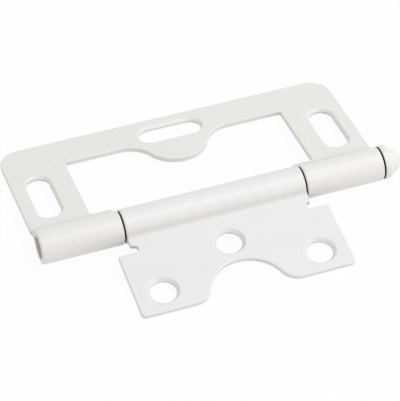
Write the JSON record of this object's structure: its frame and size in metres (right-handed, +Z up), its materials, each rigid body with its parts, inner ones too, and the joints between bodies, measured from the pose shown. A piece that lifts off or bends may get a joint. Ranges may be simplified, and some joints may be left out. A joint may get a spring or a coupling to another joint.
{
  "type": "flush hinge",
  "caption": "Painted steel flush hinge: a frame leaf with a window, a smaller leaf that folds into the window, and a pin with a bullet-shaped head.",
  "frame": {"origin": "on the pin's axis, at the middle of the barrel's length", "axes": "+X along the pin towards its head, +Y towards the outer leaf's far edge, +Z up from the table on which the open hinge lies"},
  "size_m": [0.0813, 0.0571, 0.0075],
  "materials": {
    "leaf_paint": "white powder coat, semi-gloss",
    "pin_paint": "white powder coat, semi-gloss"
  },
  "bodies": {
    "frame_side": {"outer_leaf": "leaf_paint", "hinge_pin": "pin_paint"},
    "door_side": {"inner_leaf": "leaf_paint"}
  },
  "joints": [
    {"name": "leaf_swing", "type": "hinge", "parent": "frame_side", "child": "door_side", "pos_m": [0, 0, 0], "axis": [-1, 0, 0], "range_deg": [0, 193]}
  ]
}
